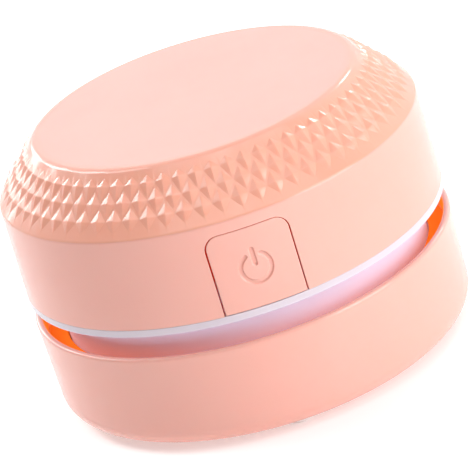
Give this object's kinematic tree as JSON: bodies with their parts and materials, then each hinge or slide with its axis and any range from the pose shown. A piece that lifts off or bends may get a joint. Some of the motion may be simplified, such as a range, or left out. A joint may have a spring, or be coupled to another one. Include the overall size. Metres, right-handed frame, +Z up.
{
  "type": "desktop mini vacuum cleaner",
  "caption": "Round cordless desk vacuum with a diamond-knurled grip cap, front power button, open exhaust gap, twist-off dust cup, brush ring and suction inlet underneath.",
  "frame": {"origin": "middle of the footprint, on the surface that the glide pads stand on", "axes": "+Z up along the axis of the round body, the power button faces -Y, the charging socket faces +Y"},
  "size_m": [0.0858, 0.0858, 0.0564],
  "materials": {
    "shell": "glossy translucent salmon pink",
    "white_plastic": "glossy white",
    "grey_plastic": "satin light grey",
    "bristle": "fine nylon bristles",
    "glide": "smooth off-white",
    "screw_steel": "zinc plated",
    "filter_felt": "pleated off-white felt",
    "filter_gauze": "fine woven gauze",
    "silicone": "soft translucent silicone",
    "dark_rubber": "matt black",
    "motor_steel": "drawn steel",
    "bronze": "sintered bronze",
    "ferrite": "dark ferrite",
    "winding": "enamelled copper",
    "copper": "bare copper",
    "black_plastic": "matt black",
    "fan_plastic": "dark grey",
    "board": "green solder mask",
    "chip": "moulded black",
    "lamp": "clear lens",
    "lead_wire": "red insulation",
    "cell_wrap": "shrink wrap",
    "nickel": "nickel strip"
  },
  "bodies": {
    "base": {"dust_cup": "shell", "inlet_tube": "shell", "lock_collar": "shell", "brush_plate": "white_plastic", "brush_tufts": "bristle", "glide_pads": "glide", "plate_screws": "screw_steel"},
    "filter_unit": {"filter_frame": "grey_plastic", "filter_mesh": "filter_gauze", "filter_pad": "filter_felt", "filter_retainer": "grey_plastic", "filter_seal": "silicone"},
    "upper_unit": {"fan_housing": "white_plastic", "motor_deck": "white_plastic", "motor_can": "motor_steel", "motor_end_cap": "black_plastic", "lower_bush": "bronze", "upper_bush": "bronze", "motor_magnets": "ferrite", "motor_sleeve": "dark_rubber", "motor_screws": "screw_steel", "motor_terminals": "copper", "motor_leads": "lead_wire", "upper_housing": "shell", "grip_cap": "shell", "housing_screws": "screw_steel", "control_board": "board", "switch_body": "black_plastic", "usb_shell": "screw_steel", "usb_tongue": "black_plastic", "status_led": "lamp", "board_parts": "chip", "battery_cell": "cell_wrap", "battery_tabs": "nickel", "battery_cradle": "black_plastic"},
    "rotor": {"motor_shaft": "screw_steel", "motor_armature": "winding", "commutator": "copper", "impeller": "fan_plastic"},
    "button": {"power_button": "shell", "switch_plunger": "black_plastic"}
  },
  "joints": [
    {"name": "cup_lift", "type": "slide", "parent": "base", "child": "filter_unit", "axis": [0, 0, 1], "range_m": [0, 0.018]},
    {"name": "cup_twist", "type": "hinge", "parent": "filter_unit", "child": "upper_unit", "pos_m": [0, 0, 0.014], "axis": [0, 0, 1], "range_deg": [0, 120]},
    {"name": "impeller_spin", "type": "hinge", "parent": "upper_unit", "child": "rotor", "pos_m": [0, 0, 0.034], "axis": [0, 0, 1], "continuous": true},
    {"name": "power_press", "type": "slide", "parent": "upper_unit", "child": "button", "axis": [0, 1, 0], "range_m": [0, 0.0008], "stiffness_N_per_m": 400, "springref_m": -0.0005}
  ],
  "couplings": [
    {"joint": "cup_lift", "follows": "cup_twist", "m_per_rad": 0.0085944}
  ]
}
